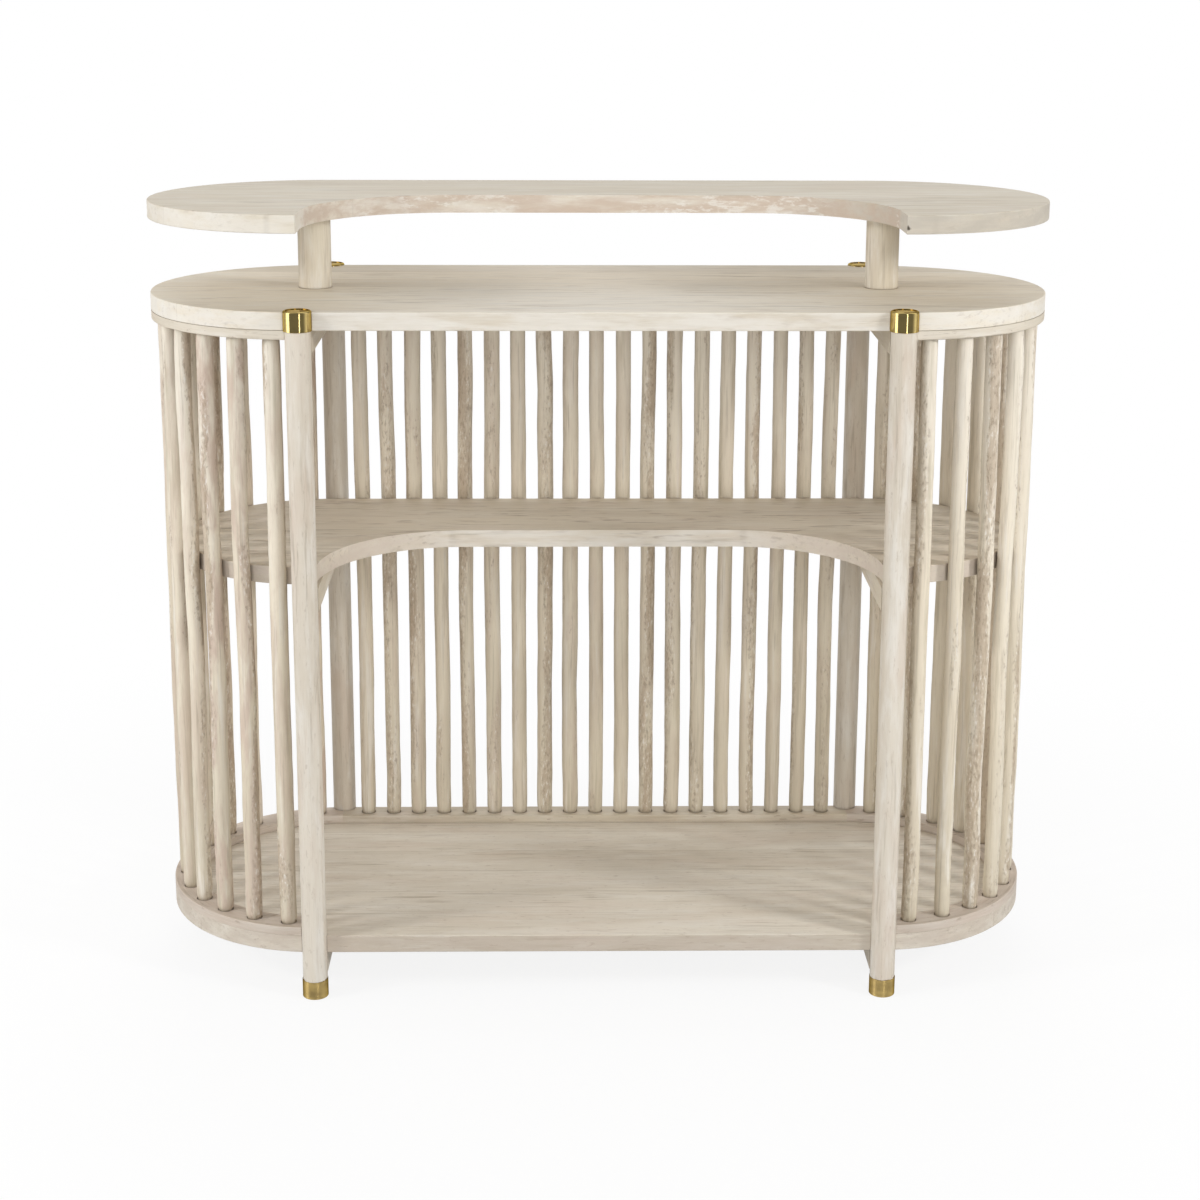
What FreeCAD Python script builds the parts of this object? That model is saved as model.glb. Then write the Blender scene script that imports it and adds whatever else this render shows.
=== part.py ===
import FreeCAD, Part
import os

import Sketcher
from FreeCAD import Placement, Rotation, Vector

# Bar table with a stadium footprint. Two leg frames, each of two round legs and three cross rails, carry
# a base panel, a middle shelf and a counter. Spindles between two rings of gallery rails close the ends
# and the back, and two posts on the counter carry the upper shelf. Legs have brass caps and ferrules.
# Frame: millimetres, +Z up, origin on the floor under the middle of the table, front towards -Y.

SIZES = (
    # Overall form
    ("leg_spacing", 776.0, "leg axis to leg axis along the front"),
    ("panel_depth", 444.0, "front edge to back edge of base and counter, also leg axis to leg axis"),
    ("panel_thickness", 24.0, "every panel and shelf"),
    ("edge_round", 1.5, "eased edges of panels and shelves"),
    ("base_clearance", 62.0, "floor to the underside of the base panel"),
    ("lower_bay_height", 488.0, "top of the base panel to the underside of the middle shelf"),
    ("upper_bay_height", 321.0, "top of the middle shelf to the underside of the counter"),
    ("post_height", 100.0, "top of the counter to the underside of the upper shelf"),
    # Legs and brass
    ("leg_diameter", 34.0, "turned leg"),
    ("leg_shoulder_round", 2.5, "bevel of the leg above its ferrule"),
    ("fit_gap", 0.15, "gap round a glued or slid-on round joint"),
    ("cap_wall", 1.35, "brass cap"),
    ("cap_rise", 3.0, "cap above the counter"),
    ("cap_round", 2.0, "rounded top edge of the cap"),
    ("ferrule_proud", 0.5, "ferrule stands out of the leg"),
    ("ferrule_wall", 1.2, "brass ferrule"),
    ("ferrule_floor", 2.0, "closed bottom of the ferrule"),
    ("ferrule_height", 25.0, "brass ferrule"),
    ("ferrule_round", 0.8, "bottom edge of the ferrule"),
    # Cross rails under the panels
    ("cross_rail_width", 33.0, "along the front"),
    ("cross_rail_height", 33.0, "upright"),
    ("cross_rail_round", 2.0, "eased long edges"),
    ("saddle_depth", 6.0, "how far the hollowed end reaches round the leg"),
    ("tenon_diameter", 16.0, "round tenon that enters the leg"),
    # Spindle gallery
    ("rail_width", 38.0, "flat gallery rail, across"),
    ("rail_height", 12.0, "flat gallery rail, upright"),
    ("rail_round", 1.5, "eased long edges of the rail on the spindle side"),
    ("rail_hole_floor", 3.0, "wood left under a spindle hole"),
    ("spindle_diameter", 22.5, "between the rails"),
    ("spindle_end_diameter", 20.0, "tapered end in its hole"),
    ("spindle_taper", 16.0, "length of the tapered end"),
    ("spindle_hole_gap", 0.9, "open ring round the spindle end"),
    ("back_spindle_count", 19, "between the rear legs"),
    ("end_spindle_count", 12, "round each end"),
    ("end_first_angle", 10.5, "degrees from a leg to the nearest end spindle"),
    # Shelves
    ("shelf_gap", 0.5, "middle shelf to the spindles round it"),
    ("shelf_cut_line", 2.0, "straight back of the middle shelf's recess, behind the middle line"),
    ("shelf_cut_radius", 190.0, "round corners of that recess"),
    ("shelf_horn", 12.0, "from the leg axis to the side of that recess"),
    ("upper_cut_line", 16.0, "straight back of the upper shelf's recess, behind the middle line"),
    ("upper_cut_radius", 190.0, "round corners of that recess"),
    ("upper_horn", 0.5, "from the leg axis to the side of that recess"),
    # Posts of the upper shelf
    ("post_diameter", 45.0, "turned post"),
    ("post_round", 1.0, "eased ends of the post"),
    ("dowel_diameter", 16.0, "dowel between post and upper shelf"),
    ("dowel_length", 40.0, "dowel between post and upper shelf"),
    ("dowel_in_shelf", 16.0, "part of the dowel in the upper shelf"),
    ("bolt_diameter", 8.0, "bolt through rail and counter into the post"),
    ("bolt_reach", 45.0, "part of the bolt in the post"),
    ("bolt_head_diameter", 13.0, "round head with a driving hole"),
    ("bolt_head_height", 6.0, "round head with a driving hole"),
    ("bolt_key_diameter", 5.5, "driving hole"),
    ("bolt_key_depth", 3.5, "driving hole"),
    # Screws that hold the panels down on the cross rails
    ("screw_offset", 120.0, "from the middle line to each screw"),
    ("screw_diameter", 4.5, "shank"),
    ("screw_head_diameter", 9.0, "countersunk head"),
    ("screw_recess", 8.0, "head below the rail's underside"),
    ("screw_reach", 14.0, "part of the screw in the panel"),
    ("screw_tip", 3.0, "pointed end"),
    # Working values
    ("overrun", 12.0, "cuts run this far past the solid"),
)

doc = FreeCAD.newDocument("BarTable")
sheet = doc.addObject("Spreadsheet::Sheet", "Sizes")
for row, (alias, number, meaning) in enumerate(SIZES, start=1):
    sheet.set(f"A{row}", meaning)
    sheet.set(f"B{row}", str(number))
    sheet.setAlias(f"B{row}", alias)
doc.recompute()

# Derived sizes, as formulas over the sheet
HALF_SPACING = "(Sizes.leg_spacing / 2)"
HALF_DEPTH = "(Sizes.panel_depth / 2)"
LEG_RADIUS = "(Sizes.leg_diameter / 2)"
CAP_INNER = f"({LEG_RADIUS} + Sizes.fit_gap)"
CAP_RADIUS = f"({CAP_INNER} + Sizes.cap_wall)"
FERRULE_RADIUS = f"({LEG_RADIUS} + Sizes.ferrule_proud)"
FERRULE_INNER = f"({FERRULE_RADIUS} - Sizes.ferrule_wall)"
FOOT_RADIUS = f"({FERRULE_INNER} - Sizes.fit_gap)"

BASE_TOP = "(Sizes.base_clearance + Sizes.panel_thickness)"
SHELF_UNDER = f"({BASE_TOP} + Sizes.lower_bay_height)"
COUNTER_UNDER = f"({SHELF_UNDER} + Sizes.panel_thickness + Sizes.upper_bay_height)"
COUNTER_TOP = f"({COUNTER_UNDER} + Sizes.panel_thickness)"
UPPER_UNDER = f"({COUNTER_TOP} + Sizes.post_height)"
CAP_HEIGHT = "(Sizes.panel_thickness + Sizes.cap_rise)"
LEG_TOP = f"({COUNTER_UNDER} + {CAP_HEIGHT} - Sizes.cap_wall - Sizes.fit_gap)"

RING_RADIUS = "((Sizes.panel_depth - Sizes.rail_width) / 2)"
SPINDLE_RADIUS = "(Sizes.spindle_diameter / 2)"
SPINDLE_END_RADIUS = "(Sizes.spindle_end_diameter / 2)"
SPINDLE_HOLE = f"({SPINDLE_END_RADIUS} + Sizes.spindle_hole_gap)"
RAIL_HOLE_DEPTH = "(Sizes.rail_height - Sizes.rail_hole_floor)"
SPINDLE_BOTTOM = f"({BASE_TOP} + Sizes.rail_hole_floor)"
SPINDLE_LENGTH = f"({COUNTER_UNDER} - Sizes.rail_hole_floor - {SPINDLE_BOTTOM})"
END_PITCH = "((180 - 2 * Sizes.end_first_angle) / (Sizes.end_spindle_count - 1))"
BACK_PITCH = "(Sizes.leg_spacing / (Sizes.back_spindle_count + 1))"

SHELF_RADIUS = f"({RING_RADIUS} - {SPINDLE_RADIUS} - Sizes.shelf_gap)"
SCREW_RADIUS = "(Sizes.screw_diameter / 2)"
SCREW_HEAD_RADIUS = "(Sizes.screw_head_diameter / 2)"
SCREW_LENGTH = "(Sizes.cross_rail_height - Sizes.screw_recess + Sizes.screw_reach)"
BOLT_RADIUS = "(Sizes.bolt_diameter / 2)"
BOLT_HEAD_RADIUS = "(Sizes.bolt_head_diameter / 2)"
BOLT_LENGTH = "(Sizes.cross_rail_height + Sizes.panel_thickness + Sizes.bolt_reach)"
DOWEL_RADIUS = "(Sizes.dowel_diameter / 2)"
DOWEL_IN_POST = "(Sizes.dowel_length - Sizes.dowel_in_shelf)"

LEVELS = {
    "base": "Sizes.base_clearance",
    "shelf": SHELF_UNDER,
    "counter": COUNTER_UNDER,
}
SIDES = {"left": -1, "right": 1}
ENDS = {"front": -1, "rear": 1}
HALF_TURN = 180
FULL_TURN = 360

# Numbers by which a sketch knows its own origin and axes, and the points of a line or arc
ORIGIN = (-1, 1)
X_AXIS, Y_AXIS = range(-1, -3, -1)
START, END, CENTRE = range(1, 4)

finished = []


def measure(formula):
    """The number that a formula over the sheet gives."""
    return float(sheet.evalExpression(formula))


def bind(item, **formulas):
    for name, formula in formulas.items():
        item.setExpression(name, formula)


def place(item, x="0", y="0", z="0", turn=0):
    """Puts a sub-part at a point given by formulas, turned about +Z by a number of degrees."""
    item.Placement = Placement(Vector(), Rotation(Vector(0, 0, 1), turn))
    for axis, formula in zip("xyz", (x, y, z)):
        item.setExpression(f"Placement.Base.{axis}", formula)


def new_body(label):
    body = doc.addObject("PartDesign::Body", label)
    body.Label = label
    body.AllowCompound = True
    return body


def finish(item):
    finished.append(item)
    return item


def new_sketch(body, name, role="XY_Plane", height="0"):
    """A sketch on one of the body's own planes, moved along that plane's normal by a formula."""
    sketch = body.newObject("Sketcher::SketchObject", name)
    support = next(item for item in body.Origin.OriginFeatures if item.Role == role)
    sketch.AttachmentSupport = [(support, "")]
    sketch.MapMode = "FlatFace"
    if height != "0":
        sketch.setExpression("AttachmentOffset.Base.z", height)
    return sketch


def size_constraint(sketch, kind, targets, formula):
    """A dimension of the sketch that follows a formula."""
    index = sketch.addConstraint(Sketcher.Constraint(kind, *targets, measure(formula)))
    name = f"size{index}"
    sketch.renameConstraint(index, name)
    sketch.setExpression(f"Constraints.{name}", formula)


def pin_point(sketch, geometry, point, x, y):
    """Ties a point to two formulas, measured from the sketch's origin."""
    for kind, formula, axis in (("DistanceX", x, Y_AXIS), ("DistanceY", y, X_AXIS)):
        if formula == "0":
            sketch.addConstraint(Sketcher.Constraint("PointOnObject", geometry, point, axis))
        else:
            size_constraint(sketch, kind, (*ORIGIN, geometry, point), formula)


def draw_circle(sketch, radius, x="0", y="0"):
    centre = Vector(measure(x), measure(y), 0)
    circle = sketch.addGeometry(Part.Circle(centre, Vector(0, 0, 1), measure(radius)))
    pin_point(sketch, circle, CENTRE, x, y)
    size_constraint(sketch, "Radius", (circle,), radius)


def draw_polygon(sketch, corners):
    """A closed outline of straight lines through corners given by formulas."""
    points = [Vector(measure(x), measure(y), 0) for x, y in corners]
    lines = []
    for first, second in zip(points, points[1:] + points[:1]):
        lines.append(sketch.addGeometry(Part.LineSegment(first, second)))
    for line, following in zip(lines, lines[1:] + lines[:1]):
        sketch.addConstraint(Sketcher.Constraint("Coincident", line, END, following, START))
    for line, (x, y) in zip(lines, corners):
        pin_point(sketch, line, START, x, y)


def draw_arc(sketch, x, y, radius, first, last):
    circle = Part.Circle(Vector(x, y, 0), Vector(0, 0, 1), radius)
    turns = [FreeCAD.Units.Quantity(f"{angle} deg").getValueAs("rad").Value for angle in (first, last)]
    return sketch.addGeometry(Part.ArcOfCircle(circle, *turns))


def draw_stadium(sketch, half_spacing, radius):
    """Two straight sides joined by two half circles."""
    middle, reach = measure(half_spacing), measure(radius)
    right = draw_arc(sketch, middle, 0, reach, -90, 90)
    left = draw_arc(sketch, -middle, 0, reach, 90, 270)
    back = sketch.addGeometry(Part.LineSegment(Vector(middle, reach, 0), Vector(-middle, reach, 0)))
    front = sketch.addGeometry(Part.LineSegment(Vector(-middle, -reach, 0), Vector(middle, -reach, 0)))
    for first, second in ((right, back), (back, left), (left, front), (front, right)):
        sketch.addConstraint(Sketcher.Constraint("Tangent", first, END, second, START))
    sketch.addConstraint(Sketcher.Constraint("Equal", right, left))
    sketch.addConstraint(Sketcher.Constraint("PointOnObject", right, CENTRE, X_AXIS))
    sketch.addConstraint(Sketcher.Constraint("Symmetric", right, CENTRE, left, CENTRE, *ORIGIN))
    size_constraint(sketch, "DistanceX", (*ORIGIN, right, CENTRE), half_spacing)
    size_constraint(sketch, "Radius", (right,), radius)


def draw_recess(sketch, half_width, front, line, radius):
    """An opening from below the front edge to a straight back line, with two round inner corners."""
    wide, low, high, bend = (measure(formula) for formula in (half_width, front, line, radius))
    floor = sketch.addGeometry(Part.LineSegment(Vector(-wide, low, 0), Vector(wide, low, 0)))
    right = sketch.addGeometry(Part.LineSegment(Vector(wide, low, 0), Vector(wide, high - bend, 0)))
    right_bend = draw_arc(sketch, wide - bend, high - bend, bend, 0, 90)
    back = sketch.addGeometry(Part.LineSegment(Vector(wide - bend, high, 0), Vector(bend - wide, high, 0)))
    left_bend = draw_arc(sketch, bend - wide, high - bend, bend, 90, 180)
    left = sketch.addGeometry(Part.LineSegment(Vector(-wide, high - bend, 0), Vector(-wide, low, 0)))
    sketch.addConstraint(Sketcher.Constraint("Coincident", floor, END, right, START))
    sketch.addConstraint(Sketcher.Constraint("Coincident", left, END, floor, START))
    for first, second in ((right, right_bend), (right_bend, back), (back, left_bend), (left_bend, left)):
        sketch.addConstraint(Sketcher.Constraint("Tangent", first, END, second, START))
    sketch.addConstraint(Sketcher.Constraint("Vertical", right))
    sketch.addConstraint(Sketcher.Constraint("Vertical", left))
    sketch.addConstraint(Sketcher.Constraint("Horizontal", back))
    sketch.addConstraint(Sketcher.Constraint("Symmetric", floor, START, floor, END, Y_AXIS))
    sketch.addConstraint(Sketcher.Constraint("Equal", right_bend, left_bend))
    size_constraint(sketch, "DistanceX", (*ORIGIN, floor, END), half_width)
    size_constraint(sketch, "DistanceY", (*ORIGIN, floor, END), front)
    size_constraint(sketch, "DistanceY", (*ORIGIN, back, START), line)
    size_constraint(sketch, "Radius", (right_bend,), radius)


def pad(body, sketch, length, symmetric=False):
    feature = body.newObject("PartDesign::Pad", f"{sketch.Name}_pad")
    feature.Profile = sketch
    bind(feature, Length=length)
    if symmetric:
        feature.SideType = "Symmetric"
    doc.recompute()
    return feature


def pocket(body, sketch, length, reverse=False, symmetric=False):
    """A cut against the sketch's normal, or along it when reversed. It has to remove wood."""
    before = body.Shape.Volume
    feature = body.newObject("PartDesign::Pocket", f"{sketch.Name}_pocket")
    feature.Profile = sketch
    feature.Reversed = reverse
    bind(feature, Length=length)
    if symmetric:
        feature.SideType = "Symmetric"
    doc.recompute()
    if not body.Shape.Volume < before:
        raise RuntimeError(f"{feature.Label} cuts nothing")
    return feature


def revolve(body, sketch):
    feature = body.newObject("PartDesign::Revolution", f"{sketch.Name}_turned")
    feature.Profile = sketch
    feature.ReferenceAxis = (sketch, ["V_Axis"])
    feature.Angle = FULL_TURN
    doc.recompute()
    return feature


def round_faces(body, feature, radius, wanted):
    """Rounds every edge of the feature's faces that the test picks."""
    names = [f"Face{i}" for i, face in enumerate(feature.Shape.Faces, start=1) if wanted(face)]
    fillet = body.newObject("PartDesign::Fillet", f"{feature.Name}_round")
    fillet.Base = (feature, names)
    bind(fillet, Radius=radius)
    doc.recompute()
    return fillet


def round_edges(body, feature, radius, wanted):
    """Rounds the feature's edges that the test picks."""
    names = [f"Edge{i}" for i, edge in enumerate(feature.Shape.Edges, start=1) if wanted(edge)]
    fillet = body.newObject("PartDesign::Fillet", f"{feature.Name}_round")
    fillet.Base = (feature, names)
    bind(fillet, Radius=radius)
    doc.recompute()
    return fillet


def is_level(face):
    """True for a flat face that looks straight up or down."""
    return face.Surface.TypeId == "Part::GeomPlane" and abs(face.normalAt(0, 0).z) > 0.5


def at_height(height, longer_than=0):
    """A test for edges that lie whole at one height and are longer than a limit."""

    def test(edge):
        box = edge.BoundBox
        off = max(abs(box.ZMax - height), abs(box.ZMin - height))
        return off < Part.Precision.confusion() and edge.Length > longer_than

    return test


def pattern_line(body, feature, length, count, axis="X_Axis"):
    """Repeats a feature along one of the body's own axes. The length runs from the first to the last."""
    pattern = body.newObject("PartDesign::LinearPattern", f"{feature.Name}_row")
    pattern.Originals = [feature]
    line = next(item for item in body.Origin.OriginFeatures if item.Role == axis)
    pattern.Direction = (line, [""])
    bind(pattern, Length=length, Occurrences=count)
    body.Tip = pattern
    doc.recompute()
    return pattern


def pattern_ring(body, feature, angle, count):
    """Repeats a feature round the body's own Z axis, from the first to the last over an angle."""
    pattern = body.newObject("PartDesign::PolarPattern", f"{feature.Name}_ring")
    pattern.Originals = [feature]
    line = next(item for item in body.Origin.OriginFeatures if item.Role == "Z_Axis")
    pattern.Axis = (line, [""])
    bind(pattern, Angle=angle, Occurrences=count)
    body.Tip = pattern
    doc.recompute()
    return pattern


def cut_circles(body, name, radius, places, length, height="0", reverse=False):
    """Round holes or notches at places given by formulas, cut from one height."""
    sketch = new_sketch(body, name, height=height)
    for x, y in places:
        draw_circle(sketch, radius, x, y)
    return pocket(body, sketch, length, reverse)


def minus(formula):
    return f"(-{formula})"


LEG_PLACES = [(x, y) for x in (minus(HALF_SPACING), HALF_SPACING) for y in (minus(HALF_DEPTH), HALF_DEPTH)]
POST_PLACES = [(minus(HALF_SPACING), "0"), (HALF_SPACING, "0")]
SCREW_LINE = [("0", "(-Sizes.screw_offset)"), ("0", "Sizes.screw_offset")]
SCREW_PLACES = [(x, y) for x in (minus(HALF_SPACING), HALF_SPACING) for _, y in SCREW_LINE]
THROUGH_PANEL = "(Sizes.panel_thickness + Sizes.overrun)"


def make_panel(label, radius, underside):
    """A stadium panel with eased edges, standing at its height."""
    body = new_body(label)
    outline = new_sketch(body, f"{label}_outline")
    draw_stadium(outline, HALF_SPACING, radius)
    slab = pad(body, outline, "Sizes.panel_thickness")
    round_faces(body, slab, "Sizes.edge_round", is_level)
    place(body, z=underside)
    return body


def cut_recess(body, half_width, radius, line, bend):
    """The bite out of a shelf's front, where the person behind the bar stands."""
    sketch = new_sketch(body, f"{body.Label}_recess", height=THROUGH_PANEL)
    draw_recess(sketch, half_width, f"(-{radius} - Sizes.overrun)", line, bend)
    pocket(body, sketch, "(Sizes.panel_thickness + 2 * Sizes.overrun)")


def drill_screws(body):
    """Pilot holes in a panel's underside for the screws that come up through the cross rails."""
    cut_circles(body, f"{body.Label}_pilots", f"({SCREW_RADIUS} + Sizes.fit_gap)", SCREW_PLACES,
                "(Sizes.screw_reach + Sizes.fit_gap)", reverse=True)


def make_panels():
    base = make_panel("base_panel", HALF_DEPTH, "Sizes.base_clearance")
    cut_circles(base, "base_leg_notches", f"({LEG_RADIUS} + Sizes.fit_gap)", LEG_PLACES,
                f"(2 * {THROUGH_PANEL})", THROUGH_PANEL)
    drill_screws(base)
    finish(base)

    shelf = make_panel("middle_shelf", SHELF_RADIUS, SHELF_UNDER)
    cut_recess(shelf, f"({HALF_SPACING} - Sizes.shelf_horn)", SHELF_RADIUS,
               "Sizes.shelf_cut_line", "Sizes.shelf_cut_radius")
    drill_screws(shelf)
    finish(shelf)

    counter = make_panel("counter_top", HALF_DEPTH, COUNTER_UNDER)
    cut_circles(counter, "counter_cap_notches", f"({CAP_RADIUS} + Sizes.fit_gap)", LEG_PLACES,
                f"(2 * {THROUGH_PANEL})", THROUGH_PANEL)
    cut_circles(counter, "counter_bolt_holes", f"({BOLT_RADIUS} + Sizes.fit_gap)", POST_PLACES,
                f"(2 * {THROUGH_PANEL})", THROUGH_PANEL)
    drill_screws(counter)
    finish(counter)

    upper = make_panel("upper_shelf", HALF_DEPTH, UPPER_UNDER)
    cut_recess(upper, f"({HALF_SPACING} - Sizes.upper_horn)", HALF_DEPTH,
               "Sizes.upper_cut_line", "Sizes.upper_cut_radius")
    cut_circles(upper, "upper_dowel_holes", f"({DOWEL_RADIUS} + Sizes.fit_gap)", POST_PLACES,
                "(Sizes.dowel_in_shelf + Sizes.fit_gap)", reverse=True)
    finish(upper)


def make_leg(label, x, y, turn):
    """A turned leg with a thinner foot for its ferrule and three round mortises that face the other leg."""
    body = new_body(label)
    profile = new_sketch(body, f"{label}_profile", "XZ_Plane")
    foot = "(Sizes.ferrule_floor + Sizes.fit_gap)"
    draw_polygon(profile, (
        ("0", foot),
        (FOOT_RADIUS, foot),
        (FOOT_RADIUS, "Sizes.ferrule_height"),
        (f"({LEG_RADIUS} - Sizes.leg_shoulder_round / 2)", "Sizes.ferrule_height"),
        (LEG_RADIUS, "(Sizes.ferrule_height + Sizes.leg_shoulder_round)"),
        (LEG_RADIUS, LEG_TOP),
        ("0", LEG_TOP),
    ))
    revolve(body, profile)
    mortises = new_sketch(body, f"{label}_mortises", "XZ_Plane")
    for underside in LEVELS.values():
        middle = f"({underside} - Sizes.cross_rail_height / 2)"
        draw_circle(mortises, "(Sizes.tenon_diameter / 2 + Sizes.fit_gap)", y=middle)
    pocket(body, mortises, f"({LEG_RADIUS} + Sizes.overrun)")
    place(body, x, y, turn=turn)
    return finish(body)


def make_cap(label, x, y):
    """A brass cup with a rounded top edge, over the leg's top and let into the counter's edge."""
    body = new_body(label)
    outline = new_sketch(body, f"{label}_outline")
    draw_circle(outline, CAP_RADIUS)
    blank = pad(body, outline, CAP_HEIGHT)
    round_edges(body, blank, "Sizes.cap_round", at_height(measure(CAP_HEIGHT)))
    cut_circles(body, f"{label}_hollow", CAP_INNER, [("0", "0")],
                f"({CAP_HEIGHT} - Sizes.cap_wall)", reverse=True)
    place(body, x, y, COUNTER_UNDER)
    return finish(body)


def make_ferrule(label, x, y):
    """A brass cup that the leg's foot stands in."""
    body = new_body(label)
    outline = new_sketch(body, f"{label}_outline")
    draw_circle(outline, FERRULE_RADIUS)
    blank = pad(body, outline, "Sizes.ferrule_height")
    round_edges(body, blank, "Sizes.ferrule_round", at_height(0))
    cut_circles(body, f"{label}_hollow", FERRULE_INNER, [("0", "0")],
                "(Sizes.ferrule_height - Sizes.ferrule_floor)", "Sizes.ferrule_height")
    place(body, x, y)
    return finish(body)


def make_leg_frames():
    for end, depth_sign in ENDS.items():
        for side, width_sign in SIDES.items():
            x = f"({width_sign} * {HALF_SPACING})"
            y = f"({depth_sign} * {HALF_DEPTH})"
            make_leg(f"{end}_{side}_leg", x, y, turn=HALF_TURN if end == "rear" else 0)
            make_cap(f"{end}_{side}_cap", x, y)
            make_ferrule(f"{end}_{side}_ferrule", x, y)


def make_cross_rail(label, x, underside, hollow, has_bolt):
    """A rail from front leg to rear leg: hollowed ends, round tenons and screw holes from below."""
    body = new_body(label)
    section = new_sketch(body, f"{label}_section", "XZ_Plane")
    half = "(Sizes.cross_rail_width / 2)"
    high = "Sizes.cross_rail_height"
    draw_polygon(section, ((minus(half), "0"), (half, "0"), (half, high), (minus(half), high)))
    bar = pad(body, section, f"(Sizes.panel_depth - 2 * ({LEG_RADIUS} - Sizes.saddle_depth))", symmetric=True)

    def is_long_lower(edge):
        box = edge.BoundBox
        return box.YLength > measure(half) and box.ZMax < measure(half)

    round_edges(body, bar, "Sizes.cross_rail_round", is_long_lower)
    saddle_places = [("0", minus(HALF_DEPTH)), ("0", HALF_DEPTH)]
    cut_circles(body, f"{label}_saddles", f"({hollow} + Sizes.fit_gap)", saddle_places,
                "(Sizes.cross_rail_height + 2 * Sizes.overrun)", "(Sizes.cross_rail_height + Sizes.overrun)")
    tenon = new_sketch(body, f"{label}_tenon", "XZ_Plane")
    draw_circle(tenon, "(Sizes.tenon_diameter / 2)", y="(Sizes.cross_rail_height / 2)")
    pad(body, tenon, "(Sizes.panel_depth - 2 * Sizes.fit_gap)", symmetric=True)
    cut_circles(body, f"{label}_screw_holes", f"({SCREW_RADIUS} + Sizes.fit_gap)", SCREW_LINE,
                "(Sizes.cross_rail_height + Sizes.overrun)", "Sizes.cross_rail_height")
    cut_circles(body, f"{label}_screw_recesses", f"({SCREW_HEAD_RADIUS} + Sizes.fit_gap)", SCREW_LINE,
                f"(Sizes.screw_recess + {SCREW_HEAD_RADIUS} - {SCREW_RADIUS})", reverse=True)
    if has_bolt:
        cut_circles(body, f"{label}_bolt_hole", f"({BOLT_RADIUS} + Sizes.fit_gap)", [("0", "0")],
                    "(Sizes.cross_rail_height + Sizes.overrun)", "Sizes.cross_rail_height")
        cut_circles(body, f"{label}_bolt_recess", f"({BOLT_HEAD_RADIUS} + Sizes.fit_gap)", [("0", "0")],
                    "Sizes.bolt_head_height", reverse=True)
    place(body, x, z=f"({underside} - {high})")
    return finish(body)


def make_cross_rails():
    for level, underside in LEVELS.items():
        for side, sign in SIDES.items():
            hollow = FERRULE_RADIUS if level == "base" else LEG_RADIUS
            make_cross_rail(f"{level}_cross_rail_{side}", f"({sign} * {HALF_SPACING})", underside, hollow,
                            has_bolt=level == "counter")


def draw_end_rail(sketch, start):
    """Half a ring, from one leg round to the other, that begins a little way out from the leg axis."""
    inner = measure("(Sizes.panel_depth / 2 - Sizes.rail_width)")
    outer, out = measure(HALF_DEPTH), measure(start)
    low_in, low_out = (inner**2 - out**2) ** 0.5, (outer**2 - out**2) ** 0.5
    corners = [Vector(out, y, 0) for y in (-low_out, low_out, low_in, -low_in)]
    outside = sketch.addGeometry(Part.Arc(corners[0], Vector(outer, 0, 0), corners[1]))
    rear = sketch.addGeometry(Part.LineSegment(corners[1], corners[2]))
    inside = sketch.addGeometry(Part.Arc(corners[3], Vector(inner, 0, 0), corners[2]))
    front = sketch.addGeometry(Part.LineSegment(corners[3], corners[0]))
    sketch.addConstraint(Sketcher.Constraint("Coincident", outside, END, rear, START))
    sketch.addConstraint(Sketcher.Constraint("Coincident", rear, END, inside, END))
    sketch.addConstraint(Sketcher.Constraint("Coincident", inside, START, front, START))
    sketch.addConstraint(Sketcher.Constraint("Coincident", front, END, outside, START))
    for arc in (outside, inside):
        sketch.addConstraint(Sketcher.Constraint("Coincident", arc, CENTRE, *ORIGIN))
    for line in (rear, front):
        sketch.addConstraint(Sketcher.Constraint("Vertical", line))
    size_constraint(sketch, "Radius", (outside,), HALF_DEPTH)
    size_constraint(sketch, "Radius", (inside,), "(Sizes.panel_depth / 2 - Sizes.rail_width)")
    for line, point in ((rear, START), (front, END)):
        if start == "0":
            sketch.addConstraint(Sketcher.Constraint("PointOnObject", line, point, Y_AXIS))
        else:
            size_constraint(sketch, "DistanceX", (*ORIGIN, line, point), start)


def ease_rail(body, blank, upright):
    """Rounds the two long edges of the face that the spindles enter."""
    face = measure("Sizes.rail_height") if upright else 0
    round_edges(body, blank, "Sizes.rail_round", at_height(face, measure("2 * Sizes.rail_width")))


def make_end_rail(label, x, z, turn, upright, start, notch):
    """A bent gallery rail with a ring of spindle holes in its upper or lower face, notched round the legs."""
    body = new_body(label)
    outline = new_sketch(body, f"{label}_outline")
    draw_end_rail(outline, start)
    blank = pad(body, outline, "Sizes.rail_height")
    ease_rail(body, blank, upright)
    leg_places = [("0", minus(HALF_DEPTH)), ("0", HALF_DEPTH)]
    cut_circles(body, f"{label}_leg_notches", f"({notch} + Sizes.fit_gap)", leg_places,
                "(Sizes.rail_height + 2 * Sizes.overrun)", "(Sizes.rail_height + Sizes.overrun)")
    hole_x = f"({RING_RADIUS} * sin(Sizes.end_first_angle * 1deg))"
    hole_y = f"(-{RING_RADIUS} * cos(Sizes.end_first_angle * 1deg))"
    hole = cut_circles(body, f"{label}_holes", SPINDLE_HOLE, [(hole_x, hole_y)], RAIL_HOLE_DEPTH,
                       "Sizes.rail_height" if upright else "0", reverse=not upright)
    pattern_ring(body, hole, "(180 - 2 * Sizes.end_first_angle)", "Sizes.end_spindle_count")
    place(body, x, z=z, turn=turn)
    return finish(body)


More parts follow.
